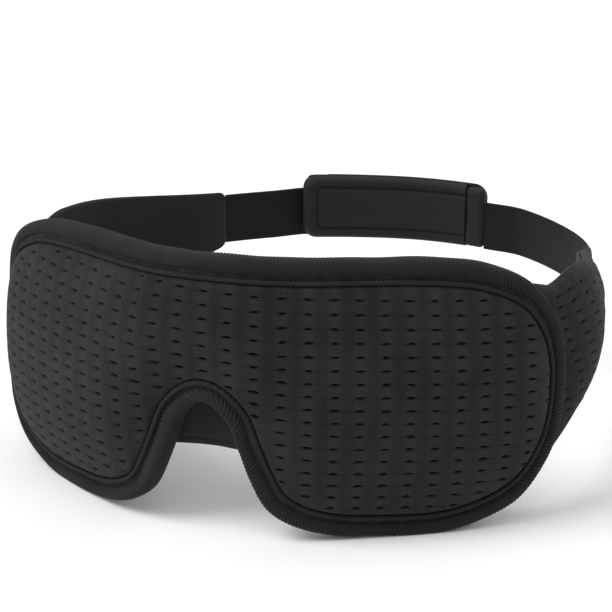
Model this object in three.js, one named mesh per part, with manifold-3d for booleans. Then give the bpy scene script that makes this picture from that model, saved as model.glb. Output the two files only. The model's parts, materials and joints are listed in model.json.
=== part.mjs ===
// Contoured sleep eye mask, closed into a head loop. Millimetres, +Z up.
// The face of the mask looks along -Y and +X is on the right of someone looking at that face.
// Every piece is laid on one developed strip: s runs along the loop from the nose, z is height,
// and t is the distance outwards from the loop's reference line. place() bends the strip into the loop.
import * as THREE from 'three';
import Module from 'manifold-3d';

// ---- loop seen from above -------------------------------------------------------------------
// reference line as [x, y] from the nose: the right half of the face, then the wings and strap
// from the right end of the face round the back to its left end
const FACE_STATIONS = [[0, 0], [13.8, 2], [26.7, 7.3], [39.1, 14], [51.2, 20.9],
  [63.2, 28.2], [74.9, 35.8], [85.6, 43.7], [93.6, 53.4]];
const STRAP_STATIONS = [[96.6, 66], [94.5, 80], [88.4, 95.8], [83.2, 121.5], [80.4, 147.7],
  [65.2, 169.1], [41.6, 183.5], [12.3, 183], [-18.6, 167.4], [-47.2, 141.1],
  [-70.5, 109.3], [-87.3, 79], [-93.1, 65.7]];
const PLAN_STEPS = 2400;
// the face of the mask leans back; the lean fades out over the depth of the loop
const LEAN = 0.1;
const LEAN_HEIGHT = 42;
const LEAN_FADE = 130;

// ---- mask body ------------------------------------------------------------------------------
// right half of the outer edge as [s, z], from the middle of the brow round to the top of the nose
const EDGE_STATIONS = [[0, 83.7], [26, 83], [69, 81.7], [84.5, 79], [98, 72.5], [107.5, 60],
  [111, 43], [108, 23.5], [96.6, 8.4], [76, 0.3], [50, 0.1], [38.2, 1.4], [27.7, 4.7], [19.9, 10.1],
  [14.8, 18.4], [11, 27], [7, 35.8], [0, 40.6]];
const EDGE_HALF = 111;
const EDGE_SAMPLES = 480;
const FLOOR_Z = 0;

const BINDING_WIDTH = 5.4;
const BINDING_FRONT = 0.7;
const BINDING_BACK = -6.6;
const BINDING_STEPS = 108;
const BINDING_SECTION = 10;
const BINDING_POWER = 2.6;

const PIPING_RADIUS = 0.6;
const PIPING_INSET = 6.4;
const PIPING_T = 0.5;
const PIPING_SECTION = 6;

const LAYER_INSET = 6;
const COVER_INSET = 7.3;
const COVER_THICK = 1.2;
const COVER_LIFT = -0.1;
const PADDING_DROP = 0.6;
const DOME_HEIGHT = 7;
const DOME_RISE = 13;
const NOSE_VALLEY = 0.45;
const NOSE_VALLEY_WIDTH = 13;
const PADDING_BACK = -2;
const SHEET_FRONT = -2.3;
const SHEET_BACK = -2.9;
const FOAM_FRONT = -3.2;
const FOAM_BACK = -13;
const FOAM_EDGE_BACK = -6.8;
const FOAM_ROUNDING = 12;
const LINING_THICK = 0.9;
const GAP = 0.3;

const NOSE_RELIEF_TOP = 66;
const NOSE_RELIEF_SLOPE = 0.42;
const NOSE_RELIEF_DEPTH = 4;
const NOSE_RELIEF_EDGE = 6;

// eye cavity outline, right side, relative to its centre
const EYE_CENTRE = [52, 43];
const EYE_OUTLINE = [[-25, 5], [-17, 15], [-4, 19.5], [12, 19], [22.5, 12], [25, -1], [20, -13],
  [8, -19.5], [-8, -18], [-20, -8]];
const EYE_STEPS = 26;
const CUP_WALL = 1;
const CUP_RECESS = 0.6;
const CUP_FLOOR = -4.4;
const CUT_CLEAR = 4;

const FLAP_HALF = 15;
const FLAP_EDGE_Z = 24;
const FLAP_FRONT = -7.2;
const FLAP_THICK = 1.6;
const FLAP_SAG = 4;
const FLAP_COLUMN = 2.5;
const FLAP_TUCK = 0.6;

// ---- side wings -----------------------------------------------------------------------------
const WING_START = 111.6;
const WING_HINGE = 113.05;
const WING_END = 204.3;
const WING_ROOT_Z = [19, 73.8];
const WING_END_Z = [38.3, 60.5];
const WING_DROP = 4.5;
const WING_DROP_LENGTH = 26;
const WING_ROOT_T = -9.1;
const WING_RETURN = 47;
const WING_BULGE = 6.7;
const WING_BULGE_IN = 25;
const WING_BULGE_OUT = 30;
const WING_COVER = [1, 2.2];
const WING_PADDING = [-1.1, 0.7];
const WING_LINING = [-2.3, -1.4];
const WING_CORNER = 2.5;
const ROOT_INSET = 4.5;
const ROOT_T = [-8.9, -6.9];
const ROOT_TOP_INSET = 1.5;
const ROOT_TOP_START = 86;
const ROOT_TOP_TUCKED = 88;
const ROOT_TOP_FREE = 92;
const ROOT_COLUMNS = 4;
const ROOT_ROWS = 8;

// ---- strap and closure ----------------------------------------------------------------------
const ELASTIC_Z = 49.4;
const ELASTIC_HEIGHT = 18;
const ELASTIC_THICK = 1.4;
const ELASTIC_BEND = 15;
const PAD_Z = 52;
const PAD_HEIGHT = 24;
const PAD_CORNER = 5;
const PAD_RIGHT_END = 268;
const PAD_LEFT_END = 340;
const HOOK_PAD_SHIFT = -3;
const PAD_CAP = 7.5;
const PAD_CAP_INSET = 0.75;
const PAD_CAP_CORNER = 3;
const PAD_WALL = 1.2;
const LOOP_PAD_T = [-5.4, -0.9];
const HOOK_PAD_T = [-0.6, 3.9];
const PATCH_THICK = 1.3;
const PATCH_MARGIN = 0.3;
// how far the wings and strap climb above their level at the face: right wing end, right and left
// pad ends, left wing end
const RISES = [0.8, 5.3, 9.8, 10.3];

const COLUMN = 7;
const ELASTIC_COLUMN = 3;
const NOSE_COLUMNS = [0, 3, 6, 9, 12, 15, 18, 22, 27, 34, 42, 51, 60, 69, 78, 86];
const END_SHARES = [0.92, 0.955, 0.98, 0.995];
const CORNER_SHARES = [0, 0.15, 0.4, 0.7];

const wasm = await Module();
wasm.setup();

// ---- the bent strip -------------------------------------------------------------------------
const toRadians = THREE.MathUtils.degToRad;
const smooth = (x) => THREE.MathUtils.smoothstep(x, 0, 1);

function loopCurve() {
  const left = FACE_STATIONS.slice(1).map(([x, y]) => [-x, y]).reverse();
  const stations = [...FACE_STATIONS, ...STRAP_STATIONS, ...left];
  const points = stations.map(([x, y]) => new THREE.Vector3(x, y, 0));
  const curve = new THREE.CatmullRomCurve3(points, true, 'centripetal');
  curve.arcLengthDivisions = PLAN_STEPS;
  return curve;
}

const LOOP = loopCurve();
const LOOP_LENGTH = LOOP.getLength();
const PLAN = Array.from({ length: PLAN_STEPS + 1 }, (_, i) => {
  const point = LOOP.getPointAt(i / PLAN_STEPS);
  const along = LOOP.getTangentAt(i / PLAN_STEPS);
  return [point.x, point.y, along.x, along.y];
});

// distance round the loop from the nose, whichever way s is given
const around = (s) => ((s % LOOP_LENGTH) + LOOP_LENGTH) % LOOP_LENGTH;

function planAt(s) {
  const at = (around(s) / LOOP_LENGTH) * PLAN_STEPS;
  const i = Math.min(Math.floor(at), PLAN_STEPS - 1);
  return PLAN[i].map((value, k) => THREE.MathUtils.lerp(value, PLAN[i + 1][k], at - i));
}

const RISE_AT = [0, WING_START, WING_END, PAD_RIGHT_END, PAD_LEFT_END, LOOP_LENGTH - WING_END,
  LOOP_LENGTH - WING_START, LOOP_LENGTH];
const RISE = new THREE.LinearInterpolant(RISE_AT, [0, 0, ...RISES, 0, 0], 1);

function place(s, z, t) {
  const [x, y, alongX, alongY] = planAt(s);
  const lean = LEAN * (z - LEAN_HEIGHT) * THREE.MathUtils.clamp(1 - y / LEAN_FADE, 0, 1);
  return [x + t * alongY, y - t * alongX + lean, z + RISE.evaluate(around(s))[0]];
}

// ---- edge of the mask -----------------------------------------------------------------------
function edgeLoop() {
  const right = EDGE_STATIONS;
  const left = right.slice(1, -1).map(([s, z]) => [-s, z]).reverse();
  const points = [...right, ...left].map(([s, z]) => new THREE.Vector3(s, z, 0));
  const curve = new THREE.CatmullRomCurve3(points, true, 'centripetal');
  return curve.getSpacedPoints(EDGE_SAMPLES).slice(0, EDGE_SAMPLES).map((p) => [p.x, p.y]);
}

const EDGE = edgeLoop();

// unit vector at sample i that points into the mask
function inwardAt(i) {
  const n = EDGE.length;
  const before = EDGE[(i - 1 + n) % n];
  const after = EDGE[(i + 1) % n];
  const ds = after[0] - before[0];
  const dz = after[1] - before[1];
  const length = Math.hypot(ds, dz);
  return [dz / length, -ds / length];
}

function insetLoop(distance) {
  return EDGE.map(([s, z], i) => {
    const [a, b] = inwardAt(i);
    return [s + a * distance, z + b * distance];
  });
}

function edgeDistance(s, z) {
  let best = Infinity;
  for (const [a, b] of EDGE) best = Math.min(best, Math.hypot(s - a, z - b));
  return best;
}

// lowest and highest z of a closed loop at one s
function spanOf(loop) {
  return (s) => {
    const hits = [];
    for (let i = 0; i < loop.length; i += 1) {
      const [s0, z0] = loop[i];
      const [s1, z1] = loop[(i + 1) % loop.length];
      if ((s0 - s) * (s1 - s) <= 0 && s0 !== s1) hits.push(z0 + ((z1 - z0) * (s - s0)) / (s1 - s0));
    }
    return [Math.min(...hits), Math.max(...hits)];
  };
}

// columns close together at the nose and at the rounded ends
function maskColumns(half) {
  const kept = NOSE_COLUMNS.filter((s) => s < half * END_SHARES[0]);
  const all = [...kept, ...END_SHARES.map((k) => k * half)];
  return [...all.slice(1).map((s) => -s).reverse(), ...all];
}

function evenColumns(from, to, pitch = COLUMN) {
  const count = Math.max(2, Math.round((to - from) / pitch));
  return Array.from({ length: count + 1 }, (_, i) => from + ((to - from) * i) / count);
}

// ---- solid builders -------------------------------------------------------------------------
function solidFrom(points, faces) {
  const geometry = new THREE.BufferGeometry();
  geometry.setAttribute('position', new THREE.Float32BufferAttribute(points.flat(), 3));
  geometry.setIndex(faces.flat());
  geometry.computeVertexNormals();
  return geometry;
}

// a thick sheet between two surfaces: cells are [s, z] in columns along s, with rows up z
function thickSheet(cells, rows, back, front) {
  const across = rows + 1;
  const sheet = cells.length;
  const last = sheet / across - 1;
  const points = [...cells.map(([s, z]) => place(s, z, front(s, z))),
    ...cells.map(([s, z]) => place(s, z, back(s, z)))];
  const faces = [];
  const quad = (a, b, c, d) => faces.push([a, b, c], [a, c, d]);
  const at = (i, j) => i * across + j;
  for (let i = 0; i < last; i += 1) {
    for (let j = 0; j < rows; j += 1) {
      quad(at(i, j), at(i + 1, j), at(i + 1, j + 1), at(i, j + 1));
      quad(sheet + at(i, j), sheet + at(i, j + 1), sheet + at(i + 1, j + 1), sheet + at(i + 1, j));
    }
    quad(at(i + 1, 0), at(i, 0), sheet + at(i, 0), sheet + at(i + 1, 0));
    quad(at(i, rows), at(i + 1, rows), sheet + at(i + 1, rows), sheet + at(i, rows));
  }
  for (let j = 0; j < rows; j += 1) {
    quad(at(0, j), at(0, j + 1), sheet + at(0, j + 1), sheet + at(0, j));
    quad(at(last, j + 1), at(last, j), sheet + at(last, j), sheet + at(last, j + 1));
  }
  return solidFrom(points, faces);
}

// a thick sheet whose columns each run between the lowest and highest z of a span
function layer({ columns, span, rows, back, front }) {
  const cells = columns.map((s) => {
    const [low, high] = span(s);
    return Array.from({ length: rows + 1 }, (_, j) => [s, low + ((high - low) * j) / rows]);
  }).flat();
  return thickSheet(cells, rows, back, front);
}

// a closed ring of round-cornered section that follows the mask's edge
function ring({ steps, section, inset, width, front, back, power }) {
  const points = [];
  const faces = [];
  const centreT = (front + back) / 2;
  const roundPart = (v) => Math.sign(v) * Math.abs(v) ** (2 / power);
  for (let i = 0; i < steps; i += 1) {
    const sample = Math.round((i * EDGE.length) / steps);
    const [a, b] = inwardAt(sample);
    for (let k = 0; k < section; k += 1) {
      const angle = ((k + 0.5) * 2 * Math.PI) / section;
      const inwards = inset + (width / 2) * roundPart(Math.cos(angle));
      const t = centreT + ((front - back) / 2) * roundPart(Math.sin(angle));
      const [s, z] = EDGE[sample];
      points.push(place(s + a * inwards, Math.max(FLOOR_Z, z + b * inwards), t));
    }
  }
  for (let i = 0; i < steps; i += 1) {
    for (let k = 0; k < section; k += 1) {
      const next = ((i + 1) % steps) * section;
      const here = i * section;
      const up = (k + 1) % section;
      faces.push([here + k, next + k, next + up], [here + k, next + up, here + up]);
    }
  }
  return solidFrom(points, faces);
}

// a plug with the eye outline grown by `grow`, from `back` to `front`
function eyePlug(side, grow, back, front) {
  const points = EYE_OUTLINE.map(([s, z]) => new THREE.Vector3(s, z, 0));
  const curve = new THREE.CatmullRomCurve3(points, true, 'centripetal');
  const outline = curve.getSpacedPoints(EYE_STEPS).slice(0, EYE_STEPS);
  const rings = [0.5, 1];
  const cell = [[0, 0]];
  rings.forEach((k) => outline.forEach((p) => {
    const size = Math.hypot(p.x, p.y);
    const scale = (k * (size + grow)) / size;
    cell.push([p.x * scale, p.y * scale]);
  }));
  const on = cell.map(([s, z]) => [side * (EYE_CENTRE[0] + s), EYE_CENTRE[1] + z]);
  const sheet = on.length;
  const solid = [...on.map(([s, z]) => place(s, z, front)), ...on.map(([s, z]) => place(s, z, back))];
  const faces = [];
  const outer = 1 + EYE_STEPS;
  for (let i = 0; i < EYE_STEPS; i += 1) {
    const j = (i + 1) % EYE_STEPS;
    const fan = [[0, 1 + j, 1 + i], [1 + i, 1 + j, outer + j], [1 + i, outer + j, outer + i]];
    fan.forEach((f) => faces.push(f, [sheet + f[0], sheet + f[2], sheet + f[1]]));
    faces.push([outer + i, outer + j, sheet + outer + j], [outer + i, sheet + outer + j, sheet + outer + i]);
  }
  const turned = side > 0 ? faces : faces.map(([a, b, c]) => [a, c, b]);
  return solidFrom(solid, turned);
}

function toManifold(geometry) {
  const vertProperties = new Float32Array(geometry.getAttribute('position').array);
  const triVerts = new Uint32Array(geometry.getIndex().array);
  return new wasm.Manifold(new wasm.Mesh({ numProp: 3, vertProperties, triVerts }));
}

function fromManifold(manifold) {
  const mesh = manifold.getMesh();
  const geometry = new THREE.BufferGeometry();
  geometry.setAttribute('position', new THREE.BufferAttribute(new Float32Array(mesh.vertProperties), 3));
  geometry.setIndex(new THREE.BufferAttribute(new Uint32Array(mesh.triVerts), 1));
  geometry.computeVertexNormals();
  return geometry;
}

function cut(body, ...tools) {
  return fromManifold(tools.reduce((rest, tool) => rest.subtract(toManifold(tool)), toManifold(body)));
}

// ---- mask body pieces -----------------------------------------------------------------------
const layerSpan = spanOf(insetLoop(LAYER_INSET));
const coverSpan = spanOf(insetLoop(COVER_INSET));
const LAYER_HALF = EDGE_HALF - LAYER_INSET;
const COVER_HALF = EDGE_HALF - COVER_INSET;

// each half of the front swells out from its edge, with a valley between them at the nose
function dome(s, z) {
  const inside = Math.max(0, edgeDistance(s, z) - COVER_INSET);
  const swell = DOME_HEIGHT * (1 - Math.exp(-inside / DOME_RISE));
  return swell * (1 - NOSE_VALLEY * Math.exp(-((s / NOSE_VALLEY_WIDTH) ** 2)));
}

function frontCover() {
  return layer({ columns: maskColumns(COVER_HALF), span: coverSpan, rows: 8,
    front: (s, z) => dome(s, z) + COVER_LIFT + COVER_THICK, back: (s, z) => dome(s, z) + COVER_LIFT });
}

function frontPadding() {
  return layer({ columns: maskColumns(COVER_HALF), span: coverSpan, rows: 8,
    front: (s, z) => dome(s, z) - PADDING_DROP, back: () => PADDING_BACK });
}

function blackoutSheet() {
  return layer({ columns: maskColumns(LAYER_HALF), span: layerSpan, rows: 4,
    front: () => SHEET_FRONT, back: () => SHEET_BACK });
}

// back of the moulded foam: rounded down at its edge and sunk in a triangle above the nose
function foamBack(s, z) {
  const inside = Math.max(0, edgeDistance(s, z) - LAYER_INSET);
  const body = THREE.MathUtils.lerp(FOAM_EDGE_BACK, FOAM_BACK, smooth(inside / FOAM_ROUNDING));
  const reach = Math.max(0, NOSE_RELIEF_TOP - z) * NOSE_RELIEF_SLOPE;
  const sunk = smooth((reach - Math.abs(s)) / NOSE_RELIEF_EDGE) * NOSE_RELIEF_DEPTH;
  return Math.min(FOAM_EDGE_BACK, body + sunk);
}

function faceFoam() {
  const body = layer({ columns: maskColumns(LAYER_HALF), span: layerSpan, rows: 8,
    front: () => FOAM_FRONT, back: foamBack });
  const holes = [-1, 1].map((side) => eyePlug(side, 0, FOAM_BACK - CUT_CLEAR, FOAM_FRONT + CUT_CLEAR));
  return cut(body, ...holes);
}

function faceLining() {
  const body = layer({ columns: maskColumns(LAYER_HALF), span: layerSpan, rows: 8,
    front: (s, z) => foamBack(s, z) - GAP, back: (s, z) => foamBack(s, z) - GAP - LINING_THICK });
  const holes = [-1, 1].map((side) => eyePlug(side, 0, FOAM_BACK - CUT_CLEAR, FOAM_FRONT + CUT_CLEAR));
  return cut(body, ...holes);
}

function eyeCup(side) {
  const cup = eyePlug(side, -GAP, FOAM_BACK + CUP_RECESS, FOAM_FRONT);
  return cut(cup, eyePlug(side, -GAP - CUP_WALL, FOAM_BACK - CUT_CLEAR, CUP_FLOOR));
}

function edgeBinding() {
  return ring({ steps: BINDING_STEPS, section: BINDING_SECTION, inset: BINDING_WIDTH / 2,
    width: BINDING_WIDTH, front: BINDING_FRONT, back: BINDING_BACK, power: BINDING_POWER });
}

function edgePiping() {
  return ring({ steps: BINDING_STEPS, section: PIPING_SECTION, inset: PIPING_INSET,
    width: 2 * PIPING_RADIUS, front: PIPING_T + PIPING_RADIUS, back: PIPING_T - PIPING_RADIUS, power: 2 });
}

// light-blocking flap that hangs across the back of the nose notch
function noseFlap() {
  const top = spanOf(insetLoop(BINDING_WIDTH - FLAP_TUCK));
  const sag = (s) => FLAP_SAG * Math.max(0, 1 - (s / FLAP_HALF) ** 2);
  const span = (s) => [FLAP_EDGE_Z, Math.max(top(s)[0], FLAP_EDGE_Z + 1)];
  return layer({ columns: evenColumns(-FLAP_HALF, FLAP_HALF, FLAP_COLUMN), span, rows: 4,
    front: (s) => FLAP_FRONT - sag(s), back: (s) => FLAP_FRONT - FLAP_THICK - sag(s) });
}

// ---- side wings -----------------------------------------------------------------------------
// lowest and highest z of the wing: a straight taper that starts lower where it leaves the mask
function wingSpan(shrink) {
  return (s) => {
    const along = Math.abs(s) - WING_START;
    const k = along / (WING_END - WING_START);
    const drop = WING_DROP * (1 - smooth(along / WING_DROP_LENGTH));
    const low = THREE.MathUtils.lerp(WING_ROOT_Z[0], WING_END_Z[0], k) + shrink - drop;
    const high = THREE.MathUtils.lerp(WING_ROOT_Z[1], WING_END_Z[1], k) - shrink - drop;
    const left = Math.max(0, WING_CORNER - (WING_END - Math.abs(s)));
    const round = WING_CORNER - Math.sqrt(WING_CORNER ** 2 - left ** 2);
    return [low + round, high - round];
  };
}

// the wing leaves the back of the binding, comes out to the strap's line and bulges at mid-height
function wingMiddle(s, z) {
  const along = Math.abs(s) - WING_START;
  const [low, high] = wingSpan(0)(s);
  const k = (2 * z - low - high) / (high - low);
  const inOut = smooth(along / WING_BULGE_IN) * smooth((WING_END - Math.abs(s)) / WING_BULGE_OUT);
  return WING_ROOT_T * (1 - smooth(along / WING_RETURN)) + WING_BULGE * (1 - k * k) * inOut;
}

function wingPiece(side, [back, front], trim = 0) {
  const ends = [WING_HINGE + GAP / 2, WING_END - trim].map((s) => side * s).sort((a, b) => a - b);
  return layer({ columns: evenColumns(...ends), span: wingSpan(trim), rows: 5,
    front: (s, z) => wingMiddle(s, z) + front, back: (s, z) => wingMiddle(s, z) + back });
}

// furthest s of a closed loop at height z
function reachOf(loop) {
  const turned = spanOf(loop.map(([s, z]) => [z, s]));
  return (z) => turned(z)[1];
}

// the wing's height near the mask: its top edge stays behind the binding until it is clear of it
function rootSpan(s) {
  const [low, high] = wingSpan(0)(s);
  if (s > ROOT_TOP_FREE) return [low, high];
  const tucked = spanOf(insetLoop(ROOT_TOP_INSET))(s)[1];
  return [low, Math.min(high, tucked + Math.max(0, s - ROOT_TOP_TUCKED))];
}

// sewn root of a wing: behind the binding it follows the mask's edge, and it ends at the fold line
function wingRoot(side) {
  const reach = reachOf(insetLoop(ROOT_INSET));
  const heightAt = (s, k) => THREE.MathUtils.lerp(...rootSpan(s), k);
  const sewnAt = (s, k) => Math.max(ROOT_TOP_START, reach(heightAt(s, k)));
  const rows = Array.from({ length: ROOT_ROWS + 1 }, (_, j) => j / ROOT_ROWS);
  const starts = rows.map((k) => sewnAt(sewnAt(sewnAt(WING_START, k), k), k));
  const shares = Array.from({ length: ROOT_COLUMNS + 1 }, (_, i) => i / ROOT_COLUMNS);
  const columns = shares.map((share) => rows.map((k, j) => {
    const s = THREE.MathUtils.lerp(starts[j], WING_HINGE - GAP / 2, share);
    return [side * s, heightAt(s, k)];
  }));
  const cells = (side > 0 ? columns : columns.reverse()).flat();
  return thickSheet(cells, ROOT_ROWS, () => ROOT_T[0], () => ROOT_T[1]);
}

// ---- strap and closure ----------------------------------------------------------------------
// webbing between a wing and the end of a pad, where it bends over to the middle of the pad
function elastic(from, to, padEnd, [padBack, padFront]) {
  const half = ELASTIC_HEIGHT / 2;
  const reach = (s) => smooth(1 - Math.abs(s - padEnd) / ELASTIC_BEND);
  const middle = (s) => ((padBack + padFront) / 2) * reach(s);
  return layer({ columns: evenColumns(from, to, ELASTIC_COLUMN), rows: 2,
    span: () => [ELASTIC_Z - half, ELASTIC_Z + half],
    front: (s) => middle(s) + ELASTIC_THICK / 2, back: (s) => middle(s) - ELASTIC_THICK / 2 });
}

// pad outline with rounded corners at the ends named in `round`
function padSpan(from, to, height, corner, round) {
  return (s) => {
    const near = Math.min(round.from ? s - from : corner, round.to ? to - s : corner);
    const left = Math.max(0, corner - near);
    const drop = corner - Math.sqrt(Math.max(0, corner ** 2 - left ** 2));
    return [PAD_Z - height / 2 + drop, PAD_Z + height / 2 - drop];
  };
}

function padColumns(from, to, corner, round) {
  const steps = CORNER_SHARES.map((k) => k * corner);
  const start = round.from ? steps.map((d) => from + d) : [from];
  const end = round.to ? steps.map((d) => to - d).reverse() : [to];
  const inner = evenColumns(start.at(-1) + 2, end[0] - 2);
  return [...start, ...inner, ...end];
}

function padBlock(from, to, height, corner, round, [back, front]) {
  return layer({ columns: padColumns(from, to, corner, round), rows: 2,
    span: padSpan(from, to, height, corner, round), front: () => front, back: () => back });
}

// the pad's parts: a fabric tray, the foam in it and the fastener patch that closes it
function closurePad({ from, to, round, t, patchSide }) {
  const [back, front] = t;
  const inner = [from + PAD_WALL, to - PAD_WALL];
  const innerHeight = PAD_HEIGHT - 2 * PAD_WALL;
  const innerCorner = PAD_CORNER - PAD_WALL;
  const pocketT = patchSide > 0 ? [back + PAD_WALL, front + 1] : [back - 1, front - PAD_WALL];
  const shell = padBlock(from, to, PAD_HEIGHT, PAD_CORNER, round, t);
  const pocket = padBlock(...inner, innerHeight, innerCorner, round, pocketT);
  const patchT = patchSide > 0 ? [front - PATCH_THICK, front] : [back, back + PATCH_THICK];
  const foamT = patchSide > 0 ? [back + PAD_WALL + GAP, front - PATCH_THICK - GAP]
    : [back + PATCH_THICK + GAP, front - PAD_WALL - GAP];
  const fill = [inner[0] + PATCH_MARGIN, inner[1] - PATCH_MARGIN];
  const fillHeight = innerHeight - 2 * PATCH_MARGIN;
  const fillCorner = innerCorner - PATCH_MARGIN;
  return {
    cover: cut(shell, pocket),
    foam: padBlock(...fill, fillHeight, fillCorner, round, foamT),
    patch: padBlock(...fill, fillHeight, fillCorner, round, patchT),
  };
}

// ---- assembly -------------------------------------------------------------------------------
const KNIT = { color: 0x2b2b2d, roughness: 0.85, metalness: 0 };
const TWILL = { color: 0x232325, roughness: 0.8, metalness: 0 };
const SMOOTH_CLOTH = { color: 0x1f1f21, roughness: 0.75, metalness: 0 };
const FOAM = { color: 0x3a3a3c, roughness: 0.95, metalness: 0 };
const WEBBING = { color: 0x242426, roughness: 0.8, metalness: 0 };
const HOOK = { color: 0x18181a, roughness: 0.7, metalness: 0 };

const mask = new THREE.Group();

function add(name, geometry, look) {
  const mesh = new THREE.Mesh(geometry, new THREE.MeshStandardMaterial(look));
  mesh.name = name;
  mask.add(mesh);
}

function addBody() {
  add('front_cover', frontCover(), KNIT);
  add('front_padding', frontPadding(), FOAM);
  add('blackout_sheet', blackoutSheet(), SMOOTH_CLOTH);
  add('face_foam', faceFoam(), FOAM);
  add('face_lining', faceLining(), SMOOTH_CLOTH);
  add('left_eye_cup', eyeCup(-1), SMOOTH_CLOTH);
  add('right_eye_cup', eyeCup(1), SMOOTH_CLOTH);
  add('edge_binding', edgeBinding(), TWILL);
  add('edge_piping', edgePiping(), TWILL);
  add('nose_flap', noseFlap(), SMOOTH_CLOTH);
}

function addWing(side, label) {
  add(`${label}_wing_root`, wingRoot(side), KNIT);
  add(`${label}_wing_cover`, wingPiece(side, WING_COVER), KNIT);
  add(`${label}_wing_padding`, wingPiece(side, WING_PADDING, 1), FOAM);
  add(`${label}_wing_lining`, wingPiece(side, WING_LINING), SMOOTH_CLOTH);
}

function addPad(label, parts, capRange, t) {
  add(`${label}_pad_cover`, parts.cover, SMOOTH_CLOTH);
  add(`${label}_pad_foam`, parts.foam, FOAM);
  add(`${label}_patch`, parts.patch, HOOK);
  const square = { from: false, to: false };
  const height = PAD_HEIGHT - 2 * PAD_CAP_INSET;
  add(`${label}_pad_end`, padBlock(...capRange, height, PAD_CAP_CORNER, square, t), SMOOTH_CLOTH);
}

function addStrap() {
  const hookStart = PAD_RIGHT_END + HOOK_PAD_SHIFT;
  const hookEnd = PAD_LEFT_END + HOOK_PAD_SHIFT;
  const leftEnd = hookEnd + GAP - LOOP_LENGTH;
  const rightEnd = PAD_RIGHT_END - GAP;
  add('left_elastic', elastic(leftEnd, -WING_END - GAP, leftEnd, HOOK_PAD_T), WEBBING);
  add('right_elastic', elastic(WING_END + GAP, rightEnd, rightEnd, LOOP_PAD_T), WEBBING);
  const loopPad = closurePad({ from: PAD_RIGHT_END + PAD_CAP + GAP, to: PAD_LEFT_END, t: LOOP_PAD_T,
    patchSide: 1, round: { from: false, to: true } });
  addPad('loop', loopPad, [PAD_RIGHT_END, PAD_RIGHT_END + PAD_CAP], LOOP_PAD_T);
  const hookPad = closurePad({ from: hookStart, to: hookEnd - PAD_CAP - GAP, t: HOOK_PAD_T,
    patchSide: -1, round: { from: true, to: false } });
  addPad('hook', hookPad, [hookEnd - PAD_CAP, hookEnd], HOOK_PAD_T);
}

// the origin is under the middle of the whole mask, on the surface that it stands on
function centre() {
  const box = new THREE.Box3().setFromObject(mask);
  mask.position.set(-(box.min.x + box.max.x) / 2, -(box.min.y + box.max.y) / 2, -box.min.z);
}

addBody();
addWing(-1, 'left');
addWing(1, 'right');
addStrap();
centre();

export default mask;
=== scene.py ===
"""Looks of the contoured sleep eye mask: knit front, bound edge, wings, elastic strap and closure.

Every soft piece is laid on the same developed strip as its CAD solid: s runs along the head loop
from the nose, z is height, and t is the distance outwards. Lengths are millimetres until place().
"""
import json
import math

import bpy
import numpy as np
from mathutils import Matrix, Vector


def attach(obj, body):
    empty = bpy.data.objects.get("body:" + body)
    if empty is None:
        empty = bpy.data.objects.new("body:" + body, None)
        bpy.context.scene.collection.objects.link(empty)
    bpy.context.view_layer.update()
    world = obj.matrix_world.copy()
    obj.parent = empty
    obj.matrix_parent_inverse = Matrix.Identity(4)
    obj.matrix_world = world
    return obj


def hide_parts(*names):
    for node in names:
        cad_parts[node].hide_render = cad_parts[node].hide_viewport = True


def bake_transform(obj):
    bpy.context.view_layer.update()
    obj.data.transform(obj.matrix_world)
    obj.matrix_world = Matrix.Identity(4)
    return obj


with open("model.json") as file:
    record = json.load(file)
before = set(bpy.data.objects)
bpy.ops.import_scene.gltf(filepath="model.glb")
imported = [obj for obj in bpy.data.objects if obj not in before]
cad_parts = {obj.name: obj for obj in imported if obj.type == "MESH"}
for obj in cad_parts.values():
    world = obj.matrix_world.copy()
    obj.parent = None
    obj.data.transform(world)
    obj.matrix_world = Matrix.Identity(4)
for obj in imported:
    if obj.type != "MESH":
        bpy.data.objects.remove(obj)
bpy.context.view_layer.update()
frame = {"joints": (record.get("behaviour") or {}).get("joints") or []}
MM = 0.001
STRIP_SCALE = 0.01

# ---- loop, as in the CAD ----
FACE_STATIONS = [(0, 0), (13.8, 2), (26.7, 7.3), (39.1, 14), (51.2, 20.9), (63.2, 28.2),
                 (74.9, 35.8), (85.6, 43.7), (93.6, 53.4)]
STRAP_STATIONS = [(96.6, 66), (94.5, 80), (88.4, 95.8), (83.2, 121.5), (80.4, 147.7),
                  (65.2, 169.1), (41.6, 183.5), (12.3, 183), (-18.6, 167.4), (-47.2, 141.1),
                  (-70.5, 109.3), (-87.3, 79), (-93.1, 65.7)]
PLAN_STEPS = 4800
SPAN_STEPS = 200
LEAN = 0.1
LEAN_HEIGHT = 42
LEAN_FADE = 130

# ---- mask body, with the CAD's outlines and layers ----
EDGE_STATIONS = [(0, 83.7), (26, 83), (69, 81.7), (84.5, 79), (98, 72.5), (107.5, 60), (111, 43),
                 (108, 23.5), (96.6, 8.4), (76, 0.3), (50, 0.1), (38.2, 1.4), (27.7, 4.7),
                 (19.9, 10.1), (14.8, 18.4), (11, 27), (7, 35.8), (0, 40.6)]
EDGE_HALF = 111
EDGE_STEPS = 480
BINDING_WIDTH = 5.4
BINDING_FRONT = 0.7
BINDING_BACK = -6.6
BINDING_POWER = 2.6
PIPING_RADIUS = 0.6
PIPING_INSET = 6.4
PIPING_T = 0.5
FLANGE_INSET = 4.3
FLOOR_CLEARANCE = 0.02
LAYER_INSET = 6
COVER_INSET = 7.3
COVER_FRONT = 1.1
COVER_BACK = -1.1
COVER_ROLL = 1.4
DOME_HEIGHT = 7
DOME_RISE = 13
NOSE_VALLEY = 0.45
NOSE_VALLEY_WIDTH = 13
PADDING_DROP = 1.5
PADDING_INSET = 0.6
PADDING_BACK = -2
LAYER_PITCH = 2.2
SHEET_T = (-2.9, -2.3)
FOAM_FRONT = -3.2
FOAM_BACK = -13
FOAM_EDGE_BACK = -6.8
FOAM_ROUNDING = 12
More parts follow.
